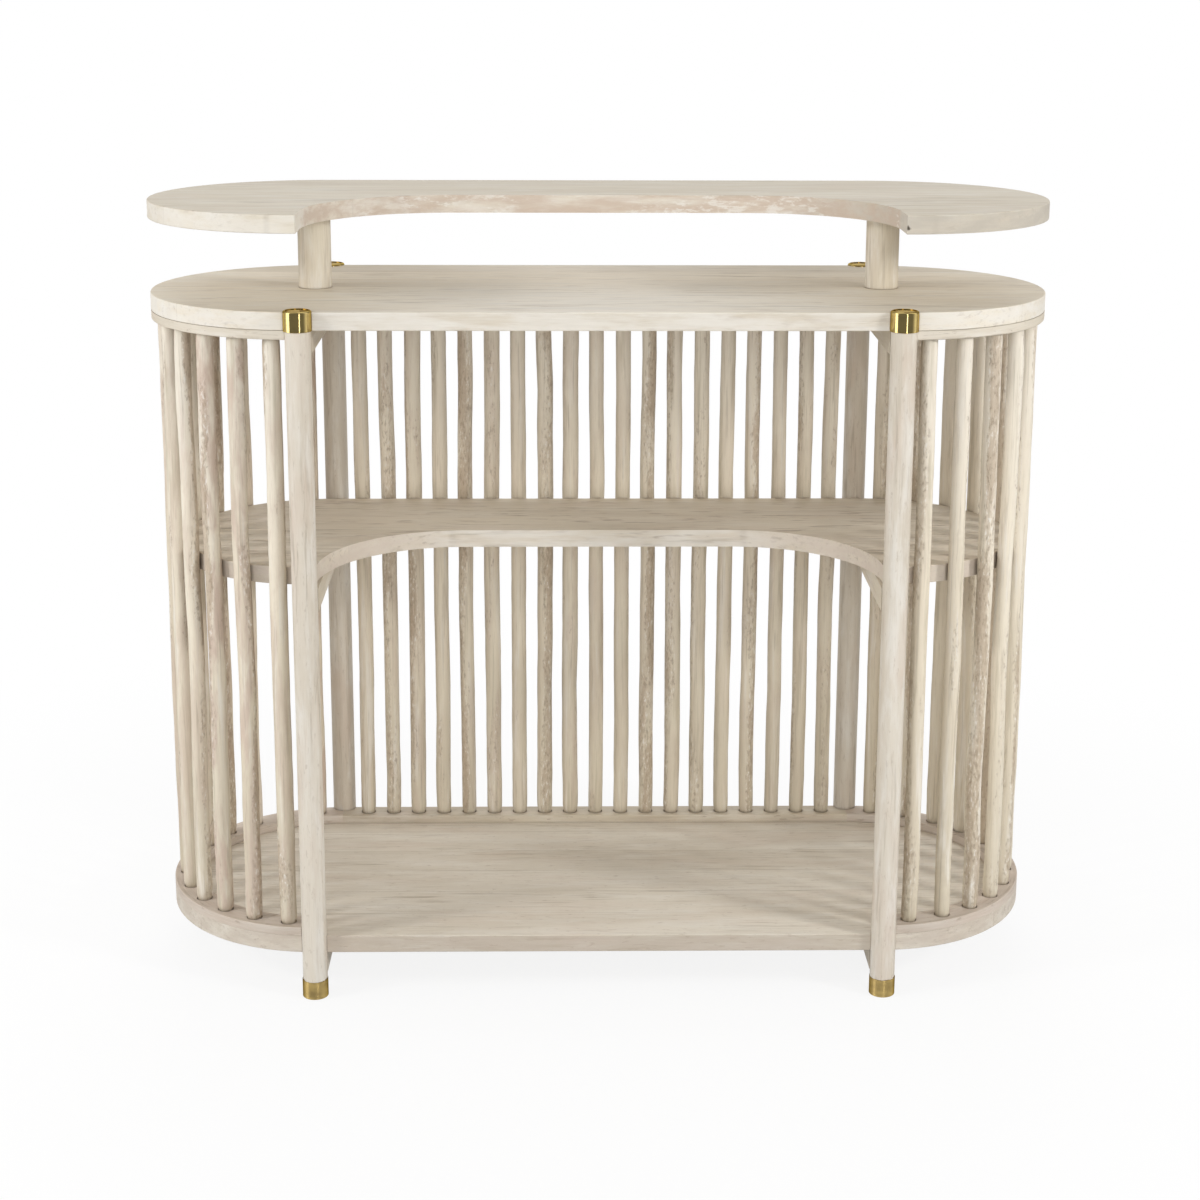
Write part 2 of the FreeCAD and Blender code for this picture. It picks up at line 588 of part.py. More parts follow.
def make_back_rail(label, z, upright, half_length, notch):
    """The straight gallery rail between the rear legs, with a row of spindle holes."""
    body = new_body(label)
    outline = new_sketch(body, f"{label}_outline")
    inner = "(Sizes.panel_depth / 2 - Sizes.rail_width)"
    draw_polygon(outline, (
        (minus(half_length), inner),
        (half_length, inner),
        (half_length, HALF_DEPTH),
        (minus(half_length), HALF_DEPTH),
    ))
    blank = pad(body, outline, "Sizes.rail_height")
    ease_rail(body, blank, upright)
    leg_places = [(minus(HALF_SPACING), HALF_DEPTH), (HALF_SPACING, HALF_DEPTH)]
    cut_circles(body, f"{label}_leg_notches", f"({notch} + Sizes.fit_gap)", leg_places,
                "(Sizes.rail_height + 2 * Sizes.overrun)", "(Sizes.rail_height + Sizes.overrun)")
    first = f"({BACK_PITCH} - {HALF_SPACING})"
    hole = cut_circles(body, f"{label}_holes", SPINDLE_HOLE, [(first, RING_RADIUS)], RAIL_HOLE_DEPTH,
                       "Sizes.rail_height" if upright else "0", reverse=not upright)
    pattern_line(body, hole, f"({BACK_PITCH} * (Sizes.back_spindle_count - 1))", "Sizes.back_spindle_count")
    place(body, z=z)
    return finish(body)


def make_gallery_rails():
    """Lower rails lie on the base, split at the legs. Upper rails hang between the counter's cross rails."""
    half_rail = "(Sizes.cross_rail_width / 2)"
    upper_z = f"({COUNTER_UNDER} - Sizes.rail_height)"
    for side, sign in SIDES.items():
        x = f"({sign} * {HALF_SPACING})"
        turn = 0 if side == "right" else HALF_TURN
        make_end_rail(f"lower_rail_{side}", x, BASE_TOP, turn, True, "0", LEG_RADIUS)
        make_end_rail(f"upper_rail_{side}", x, upper_z, turn, False, half_rail, LEG_RADIUS)
    make_back_rail("lower_rail_back", BASE_TOP, True, HALF_SPACING, LEG_RADIUS)
    make_back_rail("upper_rail_back", upper_z, False, f"({HALF_SPACING} - {half_rail})", LEG_RADIUS)


def turn_spindle(body):
    """A round spindle with tapered ends, along +Z from its lower end."""
    profile = new_sketch(body, f"{body.Label}_profile", "XZ_Plane")
    draw_polygon(profile, (
        ("0", "0"),
        (SPINDLE_END_RADIUS, "0"),
        (SPINDLE_RADIUS, "Sizes.spindle_taper"),
        (SPINDLE_RADIUS, f"({SPINDLE_LENGTH} - Sizes.spindle_taper)"),
        (SPINDLE_END_RADIUS, SPINDLE_LENGTH),
        ("0", SPINDLE_LENGTH),
    ))
    return revolve(body, profile)


def make_spindles():
    for side, sign in SIDES.items():
        for step in range(int(measure("Sizes.end_spindle_count"))):
            body = new_body(f"{side}_spindle_{step + 1:02d}")
            turn_spindle(body)
            angle = f"((Sizes.end_first_angle + {step} * {END_PITCH}) * 1deg)"
            place(body, f"({sign} * ({HALF_SPACING} + {RING_RADIUS} * sin({angle})))",
                  f"(-{RING_RADIUS} * cos({angle}))", SPINDLE_BOTTOM)
            finish(body)
    row = new_body("back_spindles")
    first = turn_spindle(row)
    pattern_line(row, first, f"({BACK_PITCH} * (Sizes.back_spindle_count - 1))", "Sizes.back_spindle_count")
    place(row, f"({BACK_PITCH} - {HALF_SPACING})", RING_RADIUS, SPINDLE_BOTTOM)
    finish(row)


def make_posts():
    for side, sign in SIDES.items():
        label = f"shelf_post_{side}"
        body = new_body(label)
        outline = new_sketch(body, f"{label}_outline")
        draw_circle(outline, "(Sizes.post_diameter / 2)")
        blank = pad(body, outline, "Sizes.post_height")
        round_faces(body, blank, "Sizes.post_round", is_level)
        cut_circles(body, f"{label}_bolt_hole", f"({BOLT_RADIUS} + Sizes.fit_gap)", [("0", "0")],
                    "(Sizes.bolt_reach + Sizes.fit_gap)", reverse=True)
        cut_circles(body, f"{label}_dowel_hole", f"({DOWEL_RADIUS} + Sizes.fit_gap)", [("0", "0")],
                    f"({DOWEL_IN_POST} + Sizes.fit_gap)", "Sizes.post_height")
        place(body, f"({sign} * {HALF_SPACING})", z=COUNTER_TOP)
        finish(body)


def make_post_dowels():
    body = new_body("post_dowels")
    outline = new_sketch(body, "post_dowel_outline")
    draw_circle(outline, DOWEL_RADIUS)
    dowel = pad(body, outline, "Sizes.dowel_length")
    pattern_line(body, dowel, "Sizes.leg_spacing", "2")
    place(body, minus(HALF_SPACING), z=f"({UPPER_UNDER} - {DOWEL_IN_POST})")
    finish(body)


def make_post_bolts():
    """Bolts whose heads are sunk in the counter's cross rails, with a driving hole from below."""
    body = new_body("post_bolts")
    profile = new_sketch(body, "post_bolt_profile", "XZ_Plane")
    key = "(Sizes.bolt_key_diameter / 2)"
    head = "Sizes.bolt_head_height"
    draw_polygon(profile, (
        ("0", "Sizes.bolt_key_depth"),
        (key, "Sizes.bolt_key_depth"),
        (key, "0"),
        (BOLT_HEAD_RADIUS, "0"),
        (BOLT_HEAD_RADIUS, head),
        (BOLT_RADIUS, head),
        (BOLT_RADIUS, BOLT_LENGTH),
        ("0", BOLT_LENGTH),
    ))
    bolt = revolve(body, profile)
    pattern_line(body, bolt, "Sizes.leg_spacing", "2")
    place(body, minus(HALF_SPACING), z=f"({COUNTER_UNDER} - Sizes.cross_rail_height)")
    finish(body)


def make_screw_row(label, underside):
    """Four countersunk screws of one panel, heads sunk in the two cross rails below it."""
    body = new_body(label)
    profile = new_sketch(body, f"{label}_profile", "XZ_Plane")
    cone = f"({SCREW_HEAD_RADIUS} - {SCREW_RADIUS})"
    draw_polygon(profile, (
        ("0", "0"),
        (SCREW_HEAD_RADIUS, "0"),
        (SCREW_RADIUS, cone),
        (SCREW_RADIUS, f"({SCREW_LENGTH} - Sizes.screw_tip)"),
        ("0", SCREW_LENGTH),
    ))
    screw = revolve(body, profile)
    pair = body.newObject("PartDesign::MultiTransform", f"{label}_grid")
    pair.Originals = [screw]
    steps = []
    for axis, length in (("X_Axis", "Sizes.leg_spacing"), ("Y_Axis", "(2 * Sizes.screw_offset)")):
        step = body.newObject("PartDesign::LinearPattern", f"{label}_{axis}")
        step.Direction = (next(item for item in body.Origin.OriginFeatures if item.Role == axis), [""])
        bind(step, Length=length, Occurrences="2")
        steps.append(step)
    pair.Transformations = steps
    body.Tip = pair
    doc.recompute()
    place(body, minus(HALF_SPACING), "(-Sizes.screw_offset)",
          f"({underside} - Sizes.cross_rail_height + Sizes.screw_recess)")
    return body


def make_panel_screws():
    group = doc.addObject("Part::Compound", "panel_screws")
    group.Label = "panel_screws"
    group.Links = [make_screw_row(f"{level}_screws", underside) for level, underside in LEVELS.items()]
    finish(group)


def check_document():
    """Stops before anything is written if an object failed or a sub-part has no sound solid."""
    for item in doc.Objects:
        if "Invalid" in item.State or "Error" in item.State:
            raise RuntimeError(f"{item.Label} failed: {item.State}")
    for item in finished:
        if item.Shape.isNull() or not item.Shape.isValid() or not item.Shape.Solids:
            raise RuntimeError(f"{item.Label} has no sound solid")


make_panels()
make_leg_frames()
make_cross_rails()
make_gallery_rails()
make_spindles()
make_posts()
make_post_dowels()
make_post_bolts()
make_panel_screws()
doc.recompute()
check_document()

os.makedirs("parts", exist_ok=True)
for item in finished:
    item.Shape.exportStep(f"parts/{item.Label}.step")
print(f"{len(finished)} sub-parts, {sum(len(item.Shape.Solids) for item in finished)} solids")
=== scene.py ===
import math
import random

import bpy
from mathutils import Matrix, Vector, noise


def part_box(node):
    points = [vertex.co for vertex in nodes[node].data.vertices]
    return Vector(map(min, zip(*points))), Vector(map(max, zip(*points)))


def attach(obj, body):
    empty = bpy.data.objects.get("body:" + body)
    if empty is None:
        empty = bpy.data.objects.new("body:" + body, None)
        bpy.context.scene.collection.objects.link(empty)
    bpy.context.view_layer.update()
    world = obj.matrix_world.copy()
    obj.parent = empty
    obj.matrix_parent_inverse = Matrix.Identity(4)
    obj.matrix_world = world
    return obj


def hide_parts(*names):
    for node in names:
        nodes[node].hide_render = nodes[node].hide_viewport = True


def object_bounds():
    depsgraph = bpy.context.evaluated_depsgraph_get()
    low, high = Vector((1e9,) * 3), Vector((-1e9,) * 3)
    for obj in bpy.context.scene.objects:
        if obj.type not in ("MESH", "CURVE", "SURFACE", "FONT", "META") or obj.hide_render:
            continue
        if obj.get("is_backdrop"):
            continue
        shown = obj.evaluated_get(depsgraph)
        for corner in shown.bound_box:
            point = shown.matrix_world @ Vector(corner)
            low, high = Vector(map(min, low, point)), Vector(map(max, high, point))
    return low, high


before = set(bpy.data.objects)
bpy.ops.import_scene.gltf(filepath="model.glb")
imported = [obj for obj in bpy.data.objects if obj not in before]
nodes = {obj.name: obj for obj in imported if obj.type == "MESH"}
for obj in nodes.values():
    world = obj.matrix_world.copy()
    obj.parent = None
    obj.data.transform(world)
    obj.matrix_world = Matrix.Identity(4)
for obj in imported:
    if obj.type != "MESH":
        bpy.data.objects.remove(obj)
cad_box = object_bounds()


# Sizes and counts taken from the solids, in metres
def middle(node):
    low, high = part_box(node)
    return (low + high) / 2


def half_width(node):
    low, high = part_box(node)
    return (high.x - low.x) / 2


SIDES = {"left": -1, "right": 1}
ENDS = ("front", "rear")
BACK_COUNT = 19
END_COUNT = 12
HALF_SPACING = middle("front_right_leg").x
RING_RADIUS = middle("back_spindles").y
LEG_RADIUS = half_width("front_left_leg")
FERRULE_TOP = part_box("front_left_ferrule")[1].z
CAP_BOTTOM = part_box("front_left_cap")[0].z
CAP_RADIUS = half_width("front_left_cap")

# Colours, linear
WHITE = (1.0, 1.0, 1.0, 1.0)
FLOOR_WHITE = (0.86, 0.86, 0.86)
FLOOR_BOUNCE = (0.55, 0.55, 0.55)
PALE = (0.690, 0.625, 0.506)
MID = (0.605, 0.532, 0.412)
ASH = (0.690, 0.632, 0.540)
DULL_ASH = (0.605, 0.540, 0.445)
GREY = (0.500, 0.432, 0.335)
STREAK = (0.350, 0.285, 0.205)
WASH = (0.772, 0.742, 0.685)
# cream: painted light up the sticks, and the pale stripes of their grain
CREAM_AND_PAINTED_LIGHT = (0.790, 0.740, 0.650)
CHALK = (0.840, 0.820, 0.780)
MIDDLE_LIGHT_TONE = (0.900, 0.840, 0.735)
PINK = (0.600, 0.480, 0.390)
ROSE = (0.570, 0.485, 0.405)
DULL_ROSE = (0.505, 0.428, 0.355)
BARK_SKIN = (0.445, 0.340, 0.235)
BARK = (0.330, 0.250, 0.185)
SAWN = (0.540, 0.430, 0.340)
# dark brown: painted shade in joints, and the cloudy wear on the brass
DIRT_AND_SHADE = (0.240, 0.185, 0.130)
KNOT = (0.070, 0.055, 0.040)
COUNTER_PALE = (0.780, 0.712, 0.590)
COUNTER_MID = (0.705, 0.628, 0.502)
BASE_PALE = (0.750, 0.698, 0.606)
BASE_MID = (0.660, 0.600, 0.505)
UPPER_PALE = (0.725, 0.664, 0.550)
UPPER_MID = (0.645, 0.575, 0.457)
SHELF_PALE = (0.715, 0.642, 0.525)
SHELF_MID = (0.630, 0.550, 0.432)
STICK_PALE = (0.800, 0.725, 0.590)
STICK_BROWN = (0.640, 0.540, 0.395)
OLIVE = (0.440, 0.385, 0.270)
STICK_SHADE_TONE = (0.300, 0.250, 0.175)
RIGHT_EDGE_TONE_AND_SHADE = (0.420, 0.375, 0.305)
CAP_GOLD = (0.70, 0.54, 0.215)
CAP_RIM_GOLD = (0.55, 0.45, 0.25)
FERRULE_GOLD = (0.58, 0.425, 0.165)
FERRULE_RIM_GOLD = (0.20, 0.16, 0.08)
DULL_STEEL = (0.52, 0.52, 0.52)
BRIGHT_STEEL = (0.66, 0.66, 0.65)


class Graph:
    """The node tree of a material or world, with short calls for the nodes used here."""

    def __init__(self, owner):
        self.owner = owner
        owner.use_nodes = True
        self.tree = owner.node_tree
        self.tree.nodes.clear()

    def put(self, kind, inputs=None, **settings):
        node = self.tree.nodes.new(kind)
        for key, value in settings.items():
            setattr(node, key, value)
        for key, value in (inputs or {}).items():
            self.feed(node.inputs[key], value)
        return node

    def feed(self, socket, value):
        if isinstance(value, bpy.types.NodeSocket):
            self.tree.links.new(value, socket)
        else:
            socket.default_value = value

    def position(self):
        return self.put("ShaderNodeTexCoord").outputs["Object"]

    def split(self, vector):
        return self.put("ShaderNodeSeparateXYZ", {0: vector}).outputs

    def join(self, x, y, z):
        return self.put("ShaderNodeCombineXYZ", {0: x, 1: y, 2: z}).outputs[0]

    def stretch(self, vector, scale):
        return self.put("ShaderNodeVectorMath", {0: vector, 1: scale}, operation="MULTIPLY").outputs[0]

    def shift(self, vector, offset):
        return self.put("ShaderNodeVectorMath", {0: vector, 1: offset}, operation="ADD").outputs[0]

    def math(self, operation, a, b=0.0):
        return self.put("ShaderNodeMath", {0: a, 1: b}, operation=operation).outputs[0]

    def times(self, a, b):
        return self.math("MULTIPLY", a, b)

    def noise(self, vector, detail, roughness, distortion=0.0):
        inputs = {"Vector": vector, "Scale": 1.0, "Detail": detail, "Roughness": roughness}
        inputs["Distortion"] = distortion
        return self.put("ShaderNodeTexNoise", inputs).outputs["Fac"]

    def between(self, value, low, high, to_low=0.0, to_high=1.0):
        inputs = {0: value, 1: low, 2: high, 3: to_low, 4: to_high}
        return self.put("ShaderNodeMapRange", inputs, interpolation_type="SMOOTHSTEP").outputs[0]

    def mix(self, share, first, second):
        node = self.put("ShaderNodeMix", data_type="RGBA")
        self.feed(node.inputs[0], share)
        for index, value in ((6, first), (7, second)):
            if not isinstance(value, bpy.types.NodeSocket):
                value = (*value, 1.0)
            self.feed(node.inputs[index], value)
        return node.outputs[2]

    def choose(self, share, first, second):
        return self.put("ShaderNodeMixShader", {0: share, 1: first, 2: second}).outputs[0]

    def attribute(self, name):
        return self.put("ShaderNodeAttribute", attribute_name=name).outputs["Fac"]

    def bump(self, height, distance, strength=1.0):
        inputs = {"Strength": strength, "Distance": distance, "Height": height}
        return self.put("ShaderNodeBump", inputs).outputs[0]

    def seen(self):
        """1 for what the camera sees straight, in a mirror or through glass."""
        path = self.put("ShaderNodeLightPath").outputs
        return self.math("MAXIMUM", path["Is Camera Ray"], self.mirrored(path))

    def mirrored(self, path):
        return self.math("MAXIMUM", path["Is Glossy Ray"], path["Is Transmission Ray"])

    def surface(self, colour, roughness, normal=None, **constants):
        shader = self.put("ShaderNodeBsdfPrincipled", {"Base Color": colour, "Roughness": roughness})
        if normal is not None:
            self.feed(shader.inputs["Normal"], normal)
        for name, value in constants.items():
            self.feed(shader.inputs[name.replace("_", " ")], value)
        self.put("ShaderNodeOutputMaterial", {"Surface": shader.outputs[0]})
        return self.owner


# Kinds of grain: waves in a metre along and across it, then the noise's detail, roughness and distortion
GRAINS = {
    "broad": (1.9, 13.0, 3.0, 0.50, 0.4),
    "patch": (6.0, 24.0, 3.0, 0.55, 0.0),
    "wash": (8.0, 50.0, 6.0, 0.66, 0.2),
    "streak": (9.0, 150.0, 4.0, 0.60, 0.3),
    "streak group": (2.6, 16.0, 2.0, 0.55, 0.0),
    "fibre": (30.0, 760.0, 3.0, 0.60, 0.0),
    "dash": (20.0, 170.0, 3.0, 0.55, 0.2),
    "dash group": (5.0, 22.0, 2.0, 0.55, 0.0),
    "nick": (55.0, 230.0, 4.0, 0.65, 0.5),
    "stick stripe": (4.5, 85.0, 4.0, 0.60, 0.4),
    "stick blotch": (9.0, 48.0, 4.0, 0.62, 0.3),
    "stick mottle": (115.0, 330.0, 4.0, 0.66, 0.3),
    "stick streak": (7.0, 190.0, 5.0, 0.62, 0.4),
    "stick fibre": (40.0, 800.0, 3.0, 0.60, 0.0),
}

# Kinds of patches on panels: waves in a metre along, across and through the panel, then detail and roughness
PATCHES = {
    "edge patchiness": ((11.0, 26.0, 70.0), 4.0, 0.60),
    "sawn brown": ((9.0, 30.0, 55.0), 4.0, 0.60),
    "sawn rough": ((45.0, 60.0, 150.0), 5.0, 0.70),
    "sawn zone": ((6.0, 12.0, 12.0), 1.0, 0.55),
    "knot rim": ((240.0, 240.0, 240.0), 2.0, 0.55),
}

# Sizes of marks in the wood, in metres
COUNTER_BOARD = 0.074
BASE_BOARD = 0.074
SHELF_BOARD = 0.082
UPPER_BOARD = 0.090
KNOT_RADIUS = 0.0055
JOINT_SHADE_REACH = 0.007
STICK_SHADE_REACH = 0.035
GRAIN_RELIEF = 0.0009
BARK_RELIEF = 0.0010
RECESS_BLEND = 0.002
RECESS_BACK_BLEND = 0.02


# Wood
def grain_space(graph, along):
    """Coordinates whose first number runs along the grain."""
    x, y, z = graph.split(graph.position())
    if along == "x":
        return graph.join(x, y, z)
    if along == "y":
        return graph.join(y, x, z)
    if along == "z":
        return graph.join(z, x, y)
    # round one end of the table
    out = graph.math("SUBTRACT", graph.times(x, SIDES[along]), HALF_SPACING)
    angle = graph.math("ARCTAN2", y, out)
    reach = graph.math("SQRT", graph.math("ADD", graph.times(out, out), graph.times(y, y)))
    return graph.join(graph.times(angle, RING_RADIUS), reach, z)


class Wood(Graph):
    """Whitewashed wood, put on in layers from the broad tones to the small marks."""

    def __init__(self, name, along, seed=0.0):
        super().__init__(bpy.data.materials.new(name))
        self.place = self.shift(grain_space(self, along), (seed, seed * 0.37, seed * 0.61))
        self.colour = None
        self.white = None
        self.streak = None
        self.fibre = None

    def grain(self, kind):
        """Noise with one scale along the grain and one across it."""
        along, across, detail, roughness, distortion = GRAINS[kind]
        place = self.stretch(self.place, (along, across, across))
        return self.noise(place, detail, roughness, distortion)

    def patches(self, kind):
        """Noise with a scale of its own in each direction of a panel."""
        scale, detail, roughness = PATCHES[kind]
        return self.noise(self.stretch(self.place, scale), detail, roughness)

    def lay(self, share, tone):
        """Cover a share of the colour so far with another tone."""
        self.colour = self.mix(share, self.colour, tone)

    def tones(self, first, second):
        broad = self.grain("broad")
        self.colour = self.mix(self.between(broad, 0.34, 0.66), first, second)

    def boards(self, width, joint=0.35):
        """Glued boards: a tone for each and a thin line between them."""
        _, across, _ = self.split(self.place)
        strip = self.math("DIVIDE", across, width)
        number = self.math("FLOOR", strip)
        tone = self.put("ShaderNodeTexWhiteNoise", {"W": number}, noise_dimensions="1D").outputs["Value"]
        self.lay(self.between(tone, 0.0, 1.0, 0.0, 0.38), GREY)
        edge = self.math("ABSOLUTE", self.math("SUBTRACT", self.math("FRACT", strip), 0.5))
        self.lay(self.between(edge, 0.488, 0.4985, 0.0, joint), STREAK)

    def blush(self, share):
        patch = self.grain("patch")
        self.lay(self.between(patch, 0.46, 0.70, 0.0, share), PINK)

    def whitewash(self, share):
        self.white = self.grain("wash")
        self.lay(self.between(self.white, 0.44, 0.68, 0.0, share), WASH)

    def streaks(self, share):
        """Dark lines along the grain, gathered in groups."""
        self.streak = self.grain("streak")
        group = self.between(self.grain("streak group"), 0.40, 0.64, 0.2, 1.0)
        dark = self.times(self.between(self.streak, 0.52, 0.70), group)
        self.lay(self.times(dark, share), STREAK)

    def fibres(self, dark=0.26, pale=0.28):
        self.fibre = self.grain("fibre")
        self.lay(self.between(self.fibre, 0.52, 0.78, 0.0, dark), STREAK)
        self.lay(self.between(self.fibre, 0.48, 0.24, 0.0, pale), WASH)

    def dashes(self, share):
        """Short dark pores and knots along the grain."""
        mark = self.grain("dash")
        group = self.between(self.grain("dash group"), 0.42, 0.58, 0.15, 1.0)
        self.lay(self.times(self.between(mark, 0.57, 0.66, 0.0, share), group), BARK)

    def painted_middle_light(self, share, reach):
        """Painted light: paler towards the middle of the level faces, making up for the shade cast there
        from above.
        """
        x, _, _ = self.split(self.position())
        near = self.between(self.math("ABSOLUTE", x), reach, 0.0, 0.0, share)
        self.lay(self.times(near, self.math("SUBTRACT", 1.0, self.upright())), MIDDLE_LIGHT_TONE)

    def nicks(self, share):
        mark = self.grain("nick")
        self.lay(self.between(mark, 0.585, 0.69, 0.0, share), BARK)

    def upright(self):
        """1 on the edges of a panel and 0 on its level faces."""
        normal = self.put("ShaderNodeNewGeometry").outputs["Normal"]
        _, _, up = self.split(normal)
        return self.between(self.math("ABSOLUTE", up), 0.75, 0.25)

    def edge(self, tone, share, start=None, stop=None, one_side=False, least=0.15):
        """Another tone on the panel's edges.

        Where start and stop are given, it grows outwards between them, on the right alone with one_side.
        """
        patchiness = self.patches("edge patchiness")
        cover = self.times(self.upright(), self.between(patchiness, 0.34, 0.60, least, share))
        if start is not None:
            x, _, _ = self.split(self.position())
            reach = x if one_side else self.math("ABSOLUTE", x)
            cover = self.times(cover, self.between(reach, start, stop))
        self.lay(cover, tone)

    def recess(self, reach, back):
        """Sawn wall of a recess in the front: browner than the rest, with pale rough patches."""
        x, y, _ = self.split(self.position())
        inside = self.between(self.math("ABSOLUTE", x), reach, reach - RECESS_BLEND)
        inside = self.times(inside, self.between(y, back, back - RECESS_BACK_BLEND))
        wall = self.times(self.upright(), inside)
        brown = self.patches("sawn brown")
        self.lay(self.times(wall, self.between(brown, 0.36, 0.60, 0.20, 0.85)), SAWN)
        rough = self.patches("sawn rough")
        zone = self.patches("sawn zone")
        pale = self.times(self.between(rough, 0.50, 0.60), self.between(zone, 0.46, 0.58, 0.0, 0.62))
        self.lay(self.times(wall, pale), WASH)

    def knot(self, place, radius):
        """A dark dent round one point of the piece."""
        away = self.shift(self.position(), [-length for length in place])
        away = self.put("ShaderNodeVectorMath", {0: away}, operation="LENGTH").outputs["Value"]
        uneven = self.patches("knot rim")
        away = self.math("ADD", away, self.times(uneven, radius))
        self.lay(self.between(away, radius * 1.25, radius * 0.75), KNOT)

    def openness(self, reach):
        """1 where nothing stands within reach of the surface, less in corners and between pieces."""
        return self.put("ShaderNodeAmbientOcclusion", {"Distance": reach}, samples=8).outputs["AO"]

    def joint_shade(self):
        """Painted shade: darker in narrow corners, in joints and between pieces."""
        self.lay(self.between(self.openness(JOINT_SHADE_REACH), 0.30, 0.80, 0.62, 0.0), DIRT_AND_SHADE)

    def finish(self):
        self.joint_shade()
        relief = self.math("ADD", self.times(self.fibre, 0.6), self.times(self.streak, -0.4))
        rough = self.between(self.white, 0.2, 0.8, 0.52, 0.70)
        return self.surface(self.colour, rough, self.bump(relief, GRAIN_RELIEF, 0.55))


def counter_wood():
    wood = Wood("counter_wood", "x")
    wood.tones(COUNTER_PALE, COUNTER_MID)
    wood.boards(COUNTER_BOARD)
    # painted light in the middle of the top
    wood.painted_middle_light(0.90, HALF_SPACING)
    wood.whitewash(0.48)
    wood.streaks(0.55)
    wood.dashes(0.30)
    wood.fibres()
    # paler edges: partly whitewash, partly painted light
    wood.edge(WASH, 0.62)
    return wood.finish()


def base_wood():
    wood = Wood("base_wood", "x", seed=7.4)
    wood.tones(BASE_PALE, BASE_MID)
    wood.boards(BASE_BOARD, joint=0.55)
    wood.blush(0.25)
    wood.whitewash(0.36)
    wood.streaks(0.62)
    wood.dashes(0.15)
    wood.fibres()
    wood.edge(DULL_ROSE, 0.60)
    wood.nicks(0.35)
    return wood.finish()


def shelf_wood():
    _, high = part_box("middle_shelf")
    wood = Wood("shelf_wood", "x", seed=3.1)
    wood.tones(SHELF_PALE, SHELF_MID)
    wood.boards(SHELF_BOARD, joint=0.55)
    wood.blush(0.20)
    wood.whitewash(0.26)
    wood.streaks(0.90)
    wood.dashes(0.75)
    wood.fibres()
    # paler edges: partly whitewash, partly painted light
    wood.edge(WASH, 0.60)
    # browner edges towards both ends: partly sawn wood, partly painted shade
    wood.edge(SAWN, 0.55, high.x * 0.30, high.x * 0.55)
    return wood.finish()


def upper_shelf_wood():
    low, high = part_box("upper_shelf")
    wood = Wood("upper_shelf_wood", "x", seed=5.7)
    wood.tones(UPPER_PALE, UPPER_MID)
    wood.boards(UPPER_BOARD)
    wood.blush(0.20)
    wood.whitewash(0.42)
    wood.streaks(0.55)
    wood.fibres()
    # paler edges: partly whitewash, partly painted light
    wood.edge(WASH, 0.55)
    # darker edges towards the right end: partly the wood's own tone, partly painted shade
    wood.edge(RIGHT_EDGE_TONE_AND_SHADE, 0.75, high.x * 0.36, high.x * 0.70, one_side=True, least=0.50)
    wood.recess(HALF_SPACING, high.y * 0.42)
    wood.knot((HALF_SPACING, low.y, low.z * 0.65 + high.z * 0.35), KNOT_RADIUS)
    return wood.finish()


def leg_wood():
    wood = Wood("leg_wood", "z", seed=1.3)
    wood.tones(ASH, DULL_ASH)
    wood.blush(0.42)
    wood.whitewash(0.60)
    wood.streaks(0.58)
    wood.fibres(dark=0.20, pale=0.20)
    wood.nicks(0.28)
    return wood.finish()


def post_wood():
    wood = Wood("post_wood", "z", seed=8.2)
    wood.tones(PALE, MID)
    wood.blush(0.25)
    wood.whitewash(0.60)
    wood.streaks(0.50)
    wood.fibres()
    return wood.finish()


def cross_rail_wood():
    wood = Wood("cross_rail_wood", "y", seed=2.4)
    wood.tones(PALE, MID)
    wood.blush(0.25)
    wood.whitewash(0.50)
    wood.streaks(0.45)
    wood.fibres()
    return wood.finish()


def rail_wood(name, along, first, second, white, seed):
    wood = Wood(name, along, seed)
    wood.tones(first, second)
    wood.blush(0.40)
    wood.whitewash(white)
    wood.streaks(0.45)
    wood.fibres()
    wood.nicks(0.50)
    return wood.finish()


